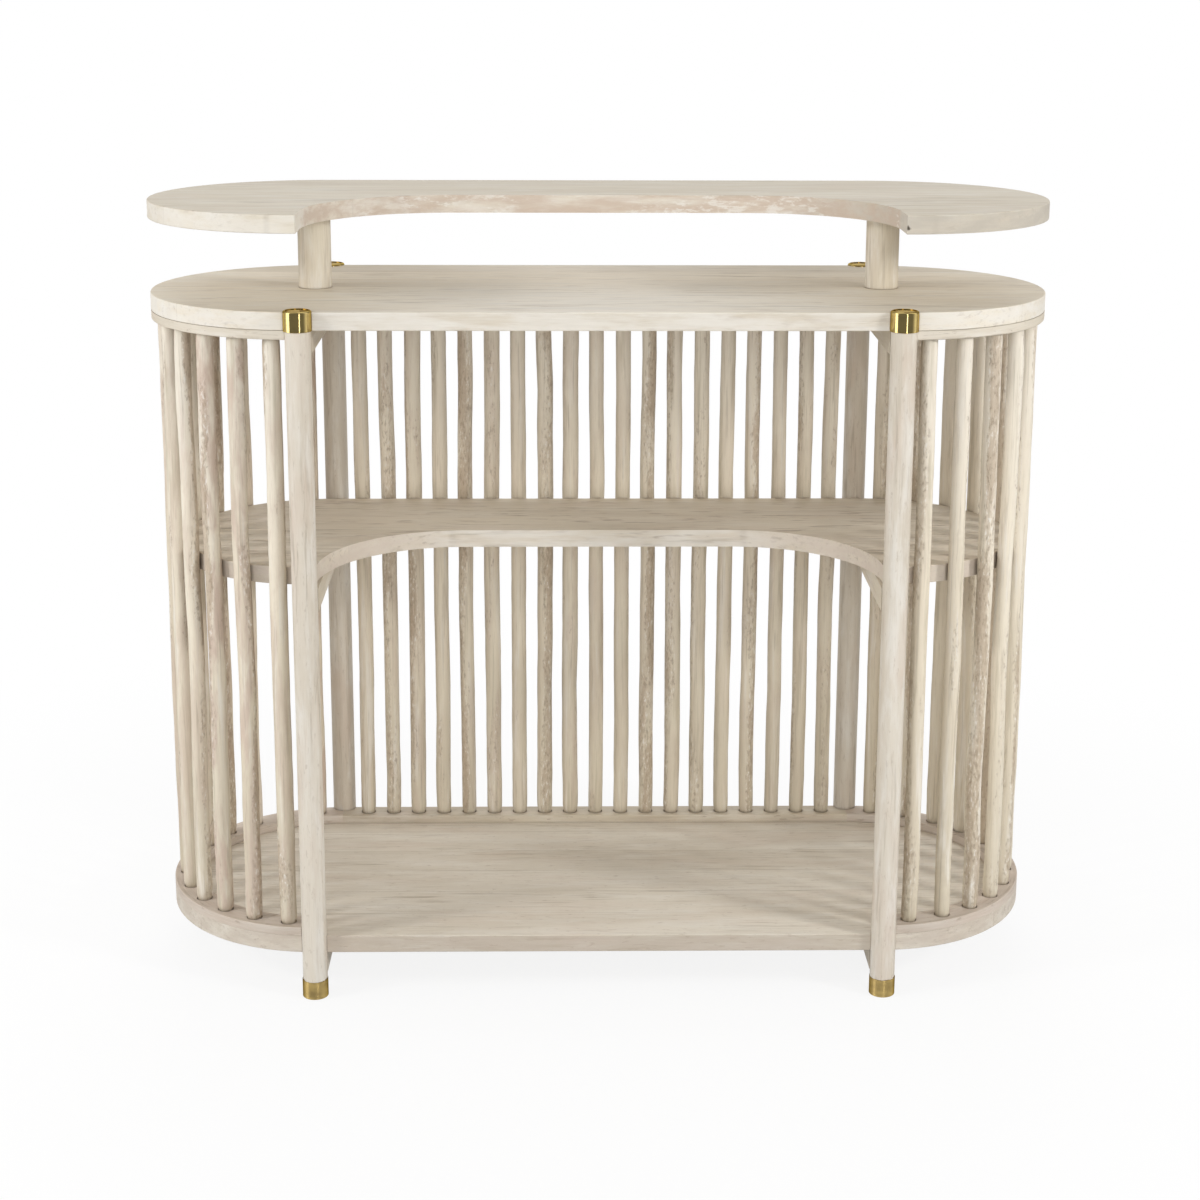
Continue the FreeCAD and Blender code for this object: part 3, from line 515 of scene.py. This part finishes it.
def stick_wood():
    """Rough round sticks: a tone for each, ragged bark on one side, painted light that makes them paler
    towards the top, and painted shade where they face each other and other pieces.
    """
    wood = Wood("stick_wood", "z")
    height, _, _ = wood.split(wood.place)
    wood.colour = wood.mix(wood.attribute("tone"), STICK_PALE, STICK_BROWN)
    wood.lay(wood.between(height, 0.60, 0.10, 0.0, 0.32), OLIVE)
    # painted light: paler towards the top, making up for the shade under the counter
    wood.lay(wood.between(height, 0.50, 0.90, 0.0, 0.60), CREAM_AND_PAINTED_LIGHT)
    stripe = wood.grain("stick stripe")
    wood.lay(wood.between(stripe, 0.46, 0.30, 0.0, 0.48), OLIVE)
    wood.lay(wood.between(stripe, 0.52, 0.68, 0.0, 0.85), CREAM_AND_PAINTED_LIGHT)
    blotch = wood.grain("stick blotch")
    wood.lay(wood.times(wood.attribute("blush"), wood.between(blotch, 0.40, 0.62)), PINK)
    mottle = wood.grain("stick mottle")
    ragged = wood.math("ADD", wood.times(blotch, 0.70), wood.times(mottle, 0.16))
    ragged = wood.math("ADD", wood.attribute("bark"), ragged)
    bark = wood.between(ragged, 0.66, 0.92)
    wood.lay(wood.times(bark, 0.62), BARK_SKIN)
    border = wood.times(wood.between(ragged, 0.56, 0.70), wood.between(ragged, 1.00, 0.82))
    pits = wood.times(wood.between(mottle, 0.53, 0.64), wood.math("MAXIMUM", bark, border))
    wood.lay(wood.times(pits, 0.48), BARK)
    flecks = wood.times(wood.between(mottle, 0.44, 0.35), border)
    wood.lay(wood.times(flecks, 0.62), CHALK)
    streak = wood.grain("stick streak")
    wood.lay(wood.between(streak, 0.53, 0.72, 0.0, 0.45), STREAK)
    fibre = wood.grain("stick fibre")
    wood.lay(wood.between(fibre, 0.52, 0.78, 0.0, 0.22), STREAK)
    # painted shade: darker where the sticks face each other and other pieces
    wood.lay(wood.between(wood.openness(STICK_SHADE_REACH), 0.40, 0.95, 0.40, 0.0), STICK_SHADE_TONE)
    wood.joint_shade()
    relief = wood.math("SUBTRACT", wood.times(fibre, 0.5), pits)
    rough = wood.between(stripe, 0.2, 0.8, 0.55, 0.75)
    return wood.surface(wood.colour, rough, wood.bump(relief, BARK_RELIEF, 0.6))


# Metal: waves in a metre of the cloudy wear and of the turning lines, whose depth is in metres
BRASS_CLOUD = (60.0, 60.0, 90.0)
ZINC_CLOUD = (120.0, 120.0, 120.0)
TURNING_LINES = (40.0, 40.0, 2600.0)
TURNING_DEPTH = 0.00012


def brass(name, tint, rim, roughness, brushed=0.0):
    """Lacquered brass with turning lines round its axis and cloudy wear, darker where it is seen edge on."""
    graph = Graph(bpy.data.materials.new(name))
    position = graph.position()
    cloud = graph.noise(graph.stretch(position, BRASS_CLOUD), 4.0, 0.6)
    colour = graph.mix(graph.between(cloud, 0.35, 0.70, 0.0, 0.18), tint, DIRT_AND_SHADE)
    rough = graph.between(cloud, 0.25, 0.75, roughness * 0.8, roughness * 1.3)
    lines = graph.noise(graph.stretch(position, TURNING_LINES), 2.0, 0.5)
    round_axis = graph.put("ShaderNodeTangent", direction_type="RADIAL", axis="Z").outputs[0]
    return graph.surface(
        colour, rough, graph.bump(lines, TURNING_DEPTH, 0.2), Metallic=1.0, Specular_Tint=(*rim, 1.0),
        Anisotropic=brushed, Anisotropic_Rotation=0.25, Tangent=round_axis
    )


def zinc_steel():
    graph = Graph(bpy.data.materials.new("zinc_steel"))
    cloud = graph.noise(graph.stretch(graph.position(), ZINC_CLOUD), 4.0, 0.6)
    colour = graph.mix(cloud, DULL_STEEL, BRIGHT_STEEL)
    return graph.surface(colour, graph.between(cloud, 0.2, 0.8, 0.28, 0.45), Metallic=1.0)


# Materials of the solids that are carried over
def dress(name, material):
    mesh = nodes[name].data
    mesh.materials.clear()
    mesh.materials.append(material)
    for polygon in mesh.polygons:
        polygon.material_index = 0


def dress_solids():
    dress("base_panel", base_wood())
    dress("counter_top", counter_wood())
    dress("middle_shelf", shelf_wood())
    dress("upper_shelf", upper_shelf_wood())
    ferrule = brass("ferrule_brass", FERRULE_GOLD, FERRULE_RIM_GOLD, 0.40, brushed=0.95)
    cross = cross_rail_wood()
    post = post_wood()
    back = rail_wood("back_rail_wood", "x", MID, GREY, white=0.30, seed=4.9)
    for side in SIDES:
        for end in ENDS:
            dress(f"{end}_{side}_ferrule", ferrule)
        for level in ("base", "shelf", "counter"):
            dress(f"{level}_cross_rail_{side}", cross)
        dress(f"shelf_post_{side}", post)
        lower = rail_wood(f"lower_{side}_rail_wood", side, ROSE, DULL_ROSE, white=0.25, seed=6.3)
        dress(f"lower_rail_{side}", lower)
        upper = rail_wood(f"upper_{side}_rail_wood", side, ASH, MID, white=0.55, seed=6.3)
        dress(f"upper_rail_{side}", upper)
    for level in ("lower", "upper"):
        dress(f"{level}_rail_back", back)
    dress("post_dowels", post)
    steel = zinc_steel()
    for name in ("panel_screws", "post_bolts"):
        dress(name, steel)


# Pieces that stand for a solid, with more of the real one's shape
CREASE = math.radians(40)
NOISE_REACH = 50.0


def add_piece(name, points, faces, material):
    """A piece with one material, smooth apart from its creases."""
    mesh = bpy.data.meshes.new(name)
    mesh.from_pydata([tuple(point) for point in points], [], faces)
    mesh.materials.append(material)
    mesh.polygons.foreach_set("use_smooth", [True] * len(mesh.polygons))
    mesh.set_sharp_from_angle(angle=CREASE)
    mesh.update()
    piece = bpy.data.objects.new(name, mesh)
    bpy.context.scene.collection.objects.link(piece)
    return piece


def tube_faces(start, ring_count, segments):
    """Faces of a closed tube whose points run ring by ring from start, bottom to top."""
    faces = []
    for ring in range(ring_count - 1):
        row = start + ring * segments
        above = row + segments
        for step in range(segments):
            after = (step + 1) % segments
            faces.append((row + step, row + after, above + after, above + step))
    top = start + (ring_count - 1) * segments
    faces.append(tuple(start + step for step in reversed(range(segments))))
    faces.append(tuple(top + step for step in range(segments)))
    return faces


def heading(angle):
    return Vector((math.cos(angle), math.sin(angle), 0.0))


def random_place(pick):
    """A far point in the noise, so that each piece gets its own unevenness."""
    return Vector([pick.uniform(0.0, NOISE_REACH) for _ in range(3)])


# Spindles: rough round sticks, each a little bent, flattened and uneven
STICK_RADIUS = 0.01125
STICK_TOP_RADIUS = 0.0105
STICK_FOOT_RADIUS = 0.0093
STICK_SEAT = 0.008
STICK_TAPER = 0.015
STICK_FREE = 0.06
STICK_SEGMENTS = 20
STICK_RINGS = 96
END_CROWDING = 0.75
CUT_RIM = 0.90
SLOW_SWELL = 0.068
FINE_SWELL = 0.034
QUICK_BEND = 0.35
SLOW_SWELL_TURN = 0.7
FINE_SWELL_TURN = 2.4
BARK_TWIST = 1.5
BARK_PATCHES = 0.7
TONE_POWER = 1.2
TINY = 1e-6
RADIUS_RANGE = (0.935, 1.045)
FLAT_RANGE = (0.0, 0.045)
BEND_RANGE = (0.0012, 0.0038)
BARK_RANGE = (0.25, 1.0)
BLUSH_RANGE = (0.5, 1.5)

# waves in a metre of a stick's length
SLOW_BEND_WAVES = 3.1
QUICK_BEND_WAVES = 11.0
SLOW_SWELL_WAVES = 9.0
FINE_SWELL_WAVES = 42.0
BARK_TWIST_WAVES = 2.5
BARK_PATCH_WAVES = 7.0

# shares of the brown tone, the bark and the blush in each group, and the first seed of its sticks
STICK_GROUPS = {
    "left": {"brown": 0.65, "bark": 0.75, "blush": 0.75, "seed": 100},
    "right": {"brown": 0.35, "bark": 0.60, "blush": 0.10, "seed": 200},
    "back": {"brown": 0.20, "bark": 0.65, "blush": 0.25, "seed": 300},
}


class Stick:
    """One stick. The plain numbers in its waves keep them apart in the noise."""

    def __init__(self, group, number, x, y, low, high):
        shares = STICK_GROUPS[group]
        pick = random.Random(shares["seed"] + number)
        self.foot = Vector((x, y, 0.0))
        self.low = low
        self.high = high
        self.drift = random_place(pick)
        self.radius = STICK_RADIUS * pick.uniform(*RADIUS_RANGE)
        self.flat_turn = pick.uniform(0.0, math.tau)
        self.flat = pick.uniform(*FLAT_RANGE)
        self.bend = pick.uniform(*BEND_RANGE)
        self.tone = pick.random() ** TONE_POWER * shares["brown"]
        self.bark_turn = pick.uniform(0.0, math.tau)
        self.bark_share = pick.uniform(*BARK_RANGE) * shares["bark"]
        self.blush = pick.uniform(*BLUSH_RANGE) * shares["blush"]

    def wave(self, x, y, z):
        return noise.noise(self.drift + Vector((x, y, z)))

    def from_end(self, z):
        return min(z - self.low, self.high - z)

    def freedom(self, z):
        """How far the stick may stray: not at all in its two holes."""
        return min(1.0, self.from_end(z) / STICK_FREE)

    def centre(self, z):
        far = z * SLOW_BEND_WAVES
        slow = Vector((self.wave(far, 0, 0), self.wave(0, far, 7.7), 0))
        near = z * QUICK_BEND_WAVES
        quick = Vector((self.wave(near, 3, 0), self.wave(5, near, 0), 0))
        return self.foot + (slow + quick * QUICK_BEND) * self.bend * self.freedom(z)

    def plain_radius(self, z):
        tip = STICK_FOOT_RADIUS if z - self.low < self.high - z else STICK_TOP_RADIUS
        taper = min(1.0, max(0.0, self.from_end(z) - STICK_SEAT) / STICK_TAPER)
        return tip + (self.radius - tip) * taper * (2.0 - taper)

    def swell(self, angle, z):
        around = heading(angle)
        slow = self.wave(around.x * SLOW_SWELL_TURN, around.y * SLOW_SWELL_TURN, z * SLOW_SWELL_WAVES)
        fine = self.wave(around.x * FINE_SWELL_TURN, around.y * FINE_SWELL_TURN, z * FINE_SWELL_WAVES)
        flat = self.flat * max(0.0, math.cos(angle - self.flat_turn)) ** 3
        return (SLOW_SWELL * slow + FINE_SWELL * fine - flat) * self.freedom(z)

    def bark(self, angle, z):
        """Share of bark left on the skin: most on one side, in patches."""
        twist = BARK_TWIST * self.wave(0, 9.0, z * BARK_TWIST_WAVES)
        facing = 0.5 + 0.5 * math.cos(angle - self.bark_turn - twist)
        around = heading(angle)
        patch = self.wave(around.x + 4.0, around.y, z * BARK_PATCH_WAVES)
        return self.bark_share * min(1.0, max(0.0, facing ** 2 + BARK_PATCHES * patch))

    def heights(self):
        """More rings near both ends, where the stick tapers."""
        for step in range(STICK_RINGS + 1):
            share = step / STICK_RINGS
            share -= END_CROWDING * math.sin(math.tau * share) / math.tau
            yield self.low + (self.high - self.low) * share

    def skin(self):
        """Points ring by ring, each with its bark share."""
        for z in self.heights():
            rim = CUT_RIM if self.from_end(z) < TINY else 1.0
            for step in range(STICK_SEGMENTS):
                angle = math.tau * step / STICK_SEGMENTS
                reach = self.plain_radius(z) * (1.0 + self.swell(angle, z)) * rim
                yield self.centre(z) + heading(angle) * reach + Vector((0, 0, z)), self.bark(angle, z)


def build_sticks(name, sticks, material):
    """One piece of closed sticks, with each stick's tone, bark and blush on its points."""
    points, faces = [], []
    layers = {"tone": [], "bark": [], "blush": []}
    for stick in sticks:
        faces += tube_faces(len(points), STICK_RINGS + 1, STICK_SEGMENTS)
        for point, bark in stick.skin():
            points.append(point)
            layers["tone"].append(stick.tone)
            layers["bark"].append(bark)
            layers["blush"].append(stick.blush)
    piece = add_piece(name, points, faces, material)
    for label, values in layers.items():
        layer = piece.data.attributes.new(label, "FLOAT", "POINT")
        layer.data.foreach_set("value", values)
    return piece


def make_sticks():
    material = stick_wood()
    for side in SIDES:
        for number in range(1, END_COUNT + 1):
            node = f"{side}_spindle_{number:02d}"
            low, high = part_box(node)
            place = middle(node)
            stick = Stick(side, number, place.x, place.y, low.z, high.z)
            piece = build_sticks(f"{side}_stick_{number:02d}", [stick], material)
            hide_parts(node)
            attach(piece, "root")
    low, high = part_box("back_spindles")
    pitch = 2 * HALF_SPACING / (BACK_COUNT + 1)
    row = [
        Stick("back", number, pitch * number - HALF_SPACING, RING_RADIUS, low.z, high.z)
        for number in range(1, BACK_COUNT + 1)
    ]
    piece = build_sticks("back_sticks", row, material)
    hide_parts("back_spindles")
    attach(piece, "root")


# Legs: round, with hand-worked flats, thinner inside the ferrules
FOOT_RADIUS = 0.0160
LEG_SEGMENTS = 40
LEG_RINGS = 110
LEG_FLATS = 6
FLAT_DEPTH = (0.025, 0.060)
FLAT_CHANGE = 0.5
FLAT_REACH = 0.3
LEG_SWELL = 0.010
LEG_SWELL_TURN = 0.8
LEG_SEED = 400
FLAT_WAVES = 4.0
LEG_WAVES = 8.0
SHOULDER_HALF = 0.0001


def leg_radius(angle, z, flats, drift):
    """Distance from the leg's axis to its surface."""
    if z < FERRULE_TOP:
        return FOOT_RADIUS
    if z > CAP_BOTTOM:
        return LEG_RADIUS
    radius = LEG_RADIUS
    for turn, depth in flats:
        facing = math.cos(angle - turn)
        sunk = depth * (1.0 + FLAT_CHANGE * noise.noise(drift + Vector((turn, 0, z * FLAT_WAVES))))
        if facing > FLAT_REACH:
            radius = min(radius, LEG_RADIUS * (1.0 - sunk) / facing)
    uneven = noise.noise(drift + heading(angle) * LEG_SWELL_TURN + Vector((0, 0, z * LEG_WAVES)))
    return min(LEG_RADIUS, radius * (1.0 + LEG_SWELL * uneven))


def build_leg(name, axis, low, high, seed, material):
    pick = random.Random(seed)
    drift = random_place(pick)
    flats = [(pick.uniform(0, math.tau), pick.uniform(*FLAT_DEPTH)) for _ in range(LEG_FLATS)]
    heights = [low + (high - low) * step / LEG_RINGS for step in range(LEG_RINGS + 1)]
    for shoulder in (FERRULE_TOP, CAP_BOTTOM):
        heights += [shoulder - SHOULDER_HALF, shoulder + SHOULDER_HALF]
    points = []
    for z in sorted(heights):
        for step in range(LEG_SEGMENTS):
            angle = math.tau * step / LEG_SEGMENTS
            reach = leg_radius(angle, z, flats, drift)
            points.append((axis.x + reach * math.cos(angle), axis.y + reach * math.sin(angle), z))
    return add_piece(name, points, tube_faces(0, len(heights), LEG_SEGMENTS), material)


# Caps: turned brass cups with a rolled shoulder and a sunk top
CAP_INNER = 0.0172
CAP_ROLL = 0.0030
CAP_RIM = 0.0150
CAP_SINK = 0.0011
CAP_WEB = 0.0004
CAP_BREAK = 0.0003
CAP_SEGMENTS = 64
ROLL_STEPS = 7


def cap_profile(low, high):
    """Radius and height along the cap's skin: inside, round the mouth, over the rim, to the sunk disc."""
    inner_top = high - CAP_SINK - CAP_WEB
    sunk = high - CAP_SINK
    profile = [(0.0, inner_top), (CAP_INNER, inner_top), (CAP_INNER, low)]
    profile += [(CAP_RADIUS - CAP_BREAK, low), (CAP_RADIUS, low + CAP_BREAK)]
    for step in range(ROLL_STEPS + 1):
        turn = math.pi / 2 * step / ROLL_STEPS
        radius = CAP_RADIUS - CAP_ROLL * (1 - math.cos(turn))
        profile.append((radius, high - CAP_ROLL * (1 - math.sin(turn))))
    profile += [(CAP_RIM + CAP_BREAK, high), (CAP_RIM, high - CAP_BREAK), (CAP_RIM, sunk)]
    profile.append((0.0, sunk))
    return profile


def build_cap(name, axis, low, high, material):
    points, rows = [], []
    for radius, z in cap_profile(low, high):
        steps = CAP_SEGMENTS if radius else 1
        rows.append([len(points) + step % steps for step in range(CAP_SEGMENTS)])
        for step in range(steps):
            angle = math.tau * step / CAP_SEGMENTS
            points.append((axis.x + radius * math.cos(angle), axis.y + radius * math.sin(angle), z))
    faces = []
    for row, above in zip(rows, rows[1:]):
        for step in range(CAP_SEGMENTS):
            after = (step + 1) % CAP_SEGMENTS
            corners = (row[step], row[after], above[after], above[step])
            faces.append(tuple(dict.fromkeys(corners)))
    return add_piece(name, points, faces, material)


def make_legs():
    wood = leg_wood()
    gold = brass("cap_brass", CAP_GOLD, CAP_RIM_GOLD, 0.09)
    corners = [f"{end}_{side}" for end in ENDS for side in SIDES]
    for number, corner in enumerate(corners):
        axis = middle(f"{corner}_leg")
        low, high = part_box(f"{corner}_leg")
        leg = build_leg(f"{corner}_hewn_leg", axis, low.z, high.z, LEG_SEED + number, wood)
        low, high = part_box(f"{corner}_cap")
        cap = build_cap(f"{corner}_turned_cap", axis, low.z, high.z, gold)
        for piece, node, slot in ((leg, "leg", "leg_wood"), (cap, "cap", "brass")):
            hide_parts(f"{corner}_{node}")
            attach(piece, "root")


# Stage: a white floor that keeps a soft shadow, and white surroundings
FLOOR_REACH = 2.4
FLOOR_DROP = 0.0004
FLOOR_CORNERS = 64
SHADOW_NEAR = 0.7
SHADOW_FAR = 1.6
SHADOW_WHITE = 0.86
FRONT_LIGHT = 0.40
BACK_LIGHT = 0.64
FRONT_MIRRORED = 0.20
BAND_DARKNESS = 0.65
BAND_WAVES = -3.0


def make_floor():
    mesh = bpy.data.meshes.new("floor")
    turns = [math.tau * corner / FLOOR_CORNERS for corner in range(FLOOR_CORNERS)]
    mesh.from_pydata([heading(turn) * FLOOR_REACH for turn in turns], [], [tuple(range(FLOOR_CORNERS))])
    floor = bpy.data.objects.new("floor", mesh)
    floor.location.z = -FLOOR_DROP
    bpy.context.scene.collection.objects.link(floor)
    graph = Graph(bpy.data.materials.new("floor_white"))
    seen = graph.seen()
    tint = graph.mix(seen, FLOOR_BOUNCE, FLOOR_WHITE)
    matt = graph.put("ShaderNodeBsdfDiffuse", {"Color": tint}).outputs[0]
    glow = graph.put("ShaderNodeEmission", {"Color": WHITE, "Strength": 1.0}).outputs[0]
    # the shadow stays near the table, and farther off the floor is plain white
    away = graph.put("ShaderNodeVectorMath", {0: graph.position()}, operation="LENGTH").outputs["Value"]
    share = graph.times(seen, graph.between(away, SHADOW_NEAR, SHADOW_FAR, SHADOW_WHITE, 1.0))
    graph.put("ShaderNodeOutputMaterial", {"Surface": graph.choose(share, matt, glow)})
    mesh.materials.append(graph.owner)
    floor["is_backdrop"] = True


def make_world():
    """White to the eye. As light, and in metal, it is dimmer in front of the table than behind it."""
    world = bpy.data.worlds.new("studio")
    bpy.context.scene.world = world
    graph = Graph(world)
    path = graph.put("ShaderNodeLightPath").outputs
    across, depth, _ = graph.split(graph.put("ShaderNodeTexCoord").outputs["Generated"])

    def white(strength):
        return graph.put("ShaderNodeBackground", {"Color": WHITE, "Strength": strength}).outputs[0]

    lighting = white(graph.between(depth, -0.3, 0.3, FRONT_LIGHT, BACK_LIGHT))
    rising = graph.between(depth, -0.6, 0.0, FRONT_MIRRORED, 1.0)
    # two dark upright bands behind the table, which give its brass some contrast from there
    turn = graph.math("ARCTAN2", depth, across)
    wave = graph.math("SINE", graph.times(turn, BAND_WAVES))
    dark = graph.between(wave, 0.6, -0.4, 0.0, BAND_DARKNESS)
    band = graph.times(graph.between(depth, 0.05, 0.35), dark)
    reflected = white(graph.times(rising, graph.math("SUBTRACT", 1.0, band)))
    unseen = graph.choose(graph.mirrored(path), lighting, reflected)
    whole = graph.choose(path["Is Camera Ray"], unseen, white(1.0))
    graph.put("ShaderNodeOutputWorld", {"Surface": whole})


# Lamps
def make_lamp(name, place, aim, size, watts, mirrored=False):
    """A soft box aimed at a height on the table's axis, shown in metal where it is mirrored."""
    data = bpy.data.lights.new(name, "AREA")
    data.shape = "RECTANGLE"
    data.size, data.size_y = size
    data.energy = watts
    lamp = bpy.data.objects.new(name, data)
    lamp.location = place
    lamp.visible_glossy = mirrored
    beam = Vector((0.0, 0.0, aim)) - Vector(place)
    lamp.rotation_euler = beam.to_track_quat("-Z", "Y").to_euler()
    bpy.context.scene.collection.objects.link(lamp)


def make_lamps():
    make_lamp("left_softbox", (-3.3, -1.2, 1.4), aim=0.75, size=(1.5, 2.8), watts=28.0, mirrored=True)
    make_lamp("right_strip", (1.15, -3.6, 1.4), aim=0.75, size=(0.3, 2.8), watts=14.0, mirrored=True)
    make_lamp("left_key", (-2.9, -1.35, 2.1), aim=0.45, size=(0.5, 0.5), watts=29.0)
    make_lamp("right_key", (2.9, -1.8, 2.0), aim=0.45, size=(0.5, 0.5), watts=52.0)
    make_lamp("front_fill", (0.0, -4.2, 1.35), aim=0.60, size=(3.4, 1.6), watts=46.0)
    make_lamp("back_wash", (0.0, 3.2, 2.3), aim=0.90, size=(3.0, 1.2), watts=48.0)


# Camera
PHOTO_WIDTH = 1200
FOCAL_PIXELS = 2246.8
SENSOR = 36.0
SHIFT = -0.10
CAMERA_PLACE = (-0.0486, -3.06, 1.394)
YAW = math.radians(0.955)
PITCH = math.radians(13.29)
ROLL = math.radians(-0.188)


def make_camera():
    data = bpy.data.cameras.new("camera")
    data.sensor_width = SENSOR
    data.lens = SENSOR * FOCAL_PIXELS / PHOTO_WIDTH
    data.shift_y = SHIFT
    camera = bpy.data.objects.new("camera", data)
    turn = Matrix.Rotation(-YAW, 3, "Z")
    turn = turn @ Matrix.Rotation(math.pi / 2 - PITCH, 3, "X")
    turn = turn @ Matrix.Rotation(-ROLL, 3, "Z")
    camera.rotation_euler = turn.to_euler()
    camera.location = CAMERA_PLACE
    bpy.context.scene.collection.objects.link(camera)
    bpy.context.scene.camera = camera


def save_sizes():
    bpy.context.view_layer.update()
    boxes = {"cad": cad_box, "visual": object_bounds()}
    lists = {name: [list(corner) for corner in box] for name, box in boxes.items()}


dress_solids()
make_sticks()
make_legs()
make_floor()
make_world()
make_lamps()
make_camera()
bpy.context.scene.view_settings.view_transform = "Standard"
save_sizes()
